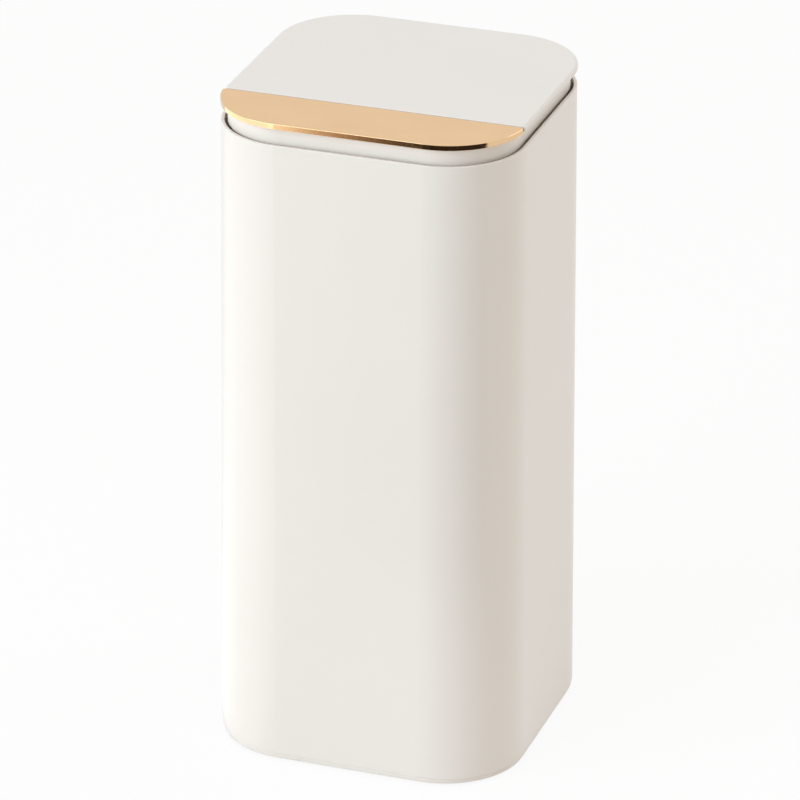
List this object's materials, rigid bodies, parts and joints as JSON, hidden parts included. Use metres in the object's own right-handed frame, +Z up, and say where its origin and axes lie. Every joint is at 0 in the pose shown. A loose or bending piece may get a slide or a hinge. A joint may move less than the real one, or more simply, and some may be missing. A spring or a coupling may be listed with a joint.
{
  "type": "lidded makeup brush holder",
  "caption": "Tall rounded-square desktop box for makeup brushes, with a rear-hinged lid, a gold pull plate at its front, an inner cup and crossed dividers.",
  "frame": {"origin": "on the standing surface, under the middle of the box", "axes": "+Z up, -Y towards the front where the pull plate is, +X to the right seen from the front"},
  "size_m": [0.1, 0.1, 0.2166],
  "materials": {
    "shell_plastic": "smooth satin gloss",
    "lid_plastic": "smooth satin gloss",
    "base_plastic": "fine matte",
    "liner_plastic": "fine satin",
    "panel_plastic": "fine satin",
    "gold_metal": "satin rose-gold anodised top with polished edges",
    "foot_rubber": "matte",
    "bumper_rubber": "matte",
    "screw_steel": "zinc plated",
    "pin_steel": "drawn stainless wire"
  },
  "bodies": {
    "holder": {"outer_shell": "shell_plastic", "base_plate": "base_plastic", "base_screws": "screw_steel", "foot_front_left": "foot_rubber", "foot_front_right": "foot_rubber", "foot_rear_left": "foot_rubber", "foot_rear_right": "foot_rubber", "inner_liner": "liner_plastic", "divider_side_to_side": "liner_plastic", "divider_front_to_back": "liner_plastic", "bumper_left": "bumper_rubber", "bumper_right": "bumper_rubber", "hinge_pin_left": "pin_steel", "hinge_pin_right": "pin_steel"},
    "lid": {"lid_collar": "lid_plastic", "lid_top_plate": "lid_plastic", "pull_plate": "gold_metal", "lid_plate_screws": "screw_steel", "pull_plate_screws": "screw_steel", "lid_inner_panel": "panel_plastic"}
  },
  "joints": [
    {"name": "lid_hinge", "type": "hinge", "parent": "holder", "child": "lid", "pos_m": [0, 0.04635, 0.21215], "axis": [-1, 0, 0], "range_deg": [0, 105]}
  ]
}
